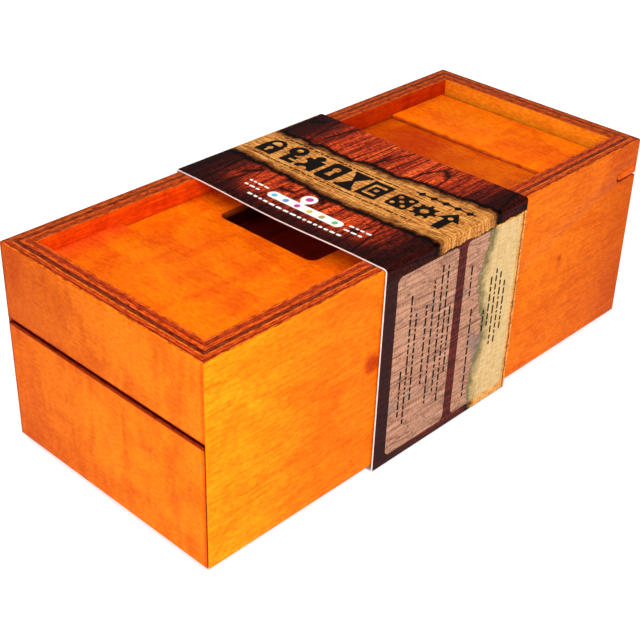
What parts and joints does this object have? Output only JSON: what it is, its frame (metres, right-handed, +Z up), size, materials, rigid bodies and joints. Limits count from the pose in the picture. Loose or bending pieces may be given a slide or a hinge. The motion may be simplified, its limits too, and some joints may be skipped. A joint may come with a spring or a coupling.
{
  "type": "wooden puzzle box",
  "caption": "Oblong stained plywood trick box with a recessed sliding top, a finger hole, a hidden drawer and a folded card sleeve round it.",
  "frame": {"origin": "centre of the box's footprint on the surface it stands on, at the card sleeve's underside", "axes": "+X along the box from the drawer end to the far end, +Z up"},
  "size_m": [0.2, 0.0902, 0.0712],
  "materials": {
    "stained_ply": "orange stain under satin lacquer",
    "top_ply": "orange stain under satin lacquer",
    "inner_wood": "thin stain, matt",
    "printed_card": "printed card, semi-gloss"
  },
  "bodies": {
    "case": {"side_near": "stained_ply", "side_far": "stained_ply", "end_near_upper": "stained_ply", "end_far_lower": "stained_ply", "end_far_upper": "stained_ply", "cover_strip": "top_ply", "floor_board": "inner_wood", "divider_board": "inner_wood", "drawer_stop": "inner_wood", "bolt_rail_inner": "inner_wood", "bolt_rail_outer": "inner_wood", "bar_ledge": "inner_wood"},
    "sliding_panel": {"slotted_panel": "top_ply", "panel_strip": "top_ply", "panel_hook": "inner_wood"},
    "end_bar": {"end_bar": "stained_ply"},
    "drawer_bolt": {"bolt_slider": "inner_wood", "bolt_peg": "inner_wood"},
    "drawer": {"drawer_front": "stained_ply", "drawer_side_near": "inner_wood", "drawer_side_far": "inner_wood", "drawer_back": "inner_wood", "drawer_bottom": "inner_wood", "drawer_hook": "inner_wood"},
    "card_sleeve": {"card_sleeve": "printed_card"}
  },
  "joints": [
    {"name": "panel_slide", "type": "slide", "parent": "case", "child": "sliding_panel", "axis": [-1, 0, 0], "range_m": [0, 0.028]},
    {"name": "end_bar_slide", "type": "slide", "parent": "case", "child": "end_bar", "axis": [0, -1, 0], "range_m": [0, 0.006]},
    {"name": "drawer_bolt_slide", "type": "slide", "parent": "case", "child": "drawer_bolt", "axis": [0, -1, 0], "range_m": [0, 0.012]},
    {"name": "drawer_slide", "type": "slide", "parent": "case", "child": "drawer", "axis": [-1, 0, 0], "range_m": [0, 0.12]},
    {"name": "card_sleeve_slide", "type": "slide", "parent": "case", "child": "card_sleeve", "axis": [1, 0, 0], "range_m": [0, 0.136]}
  ]
}
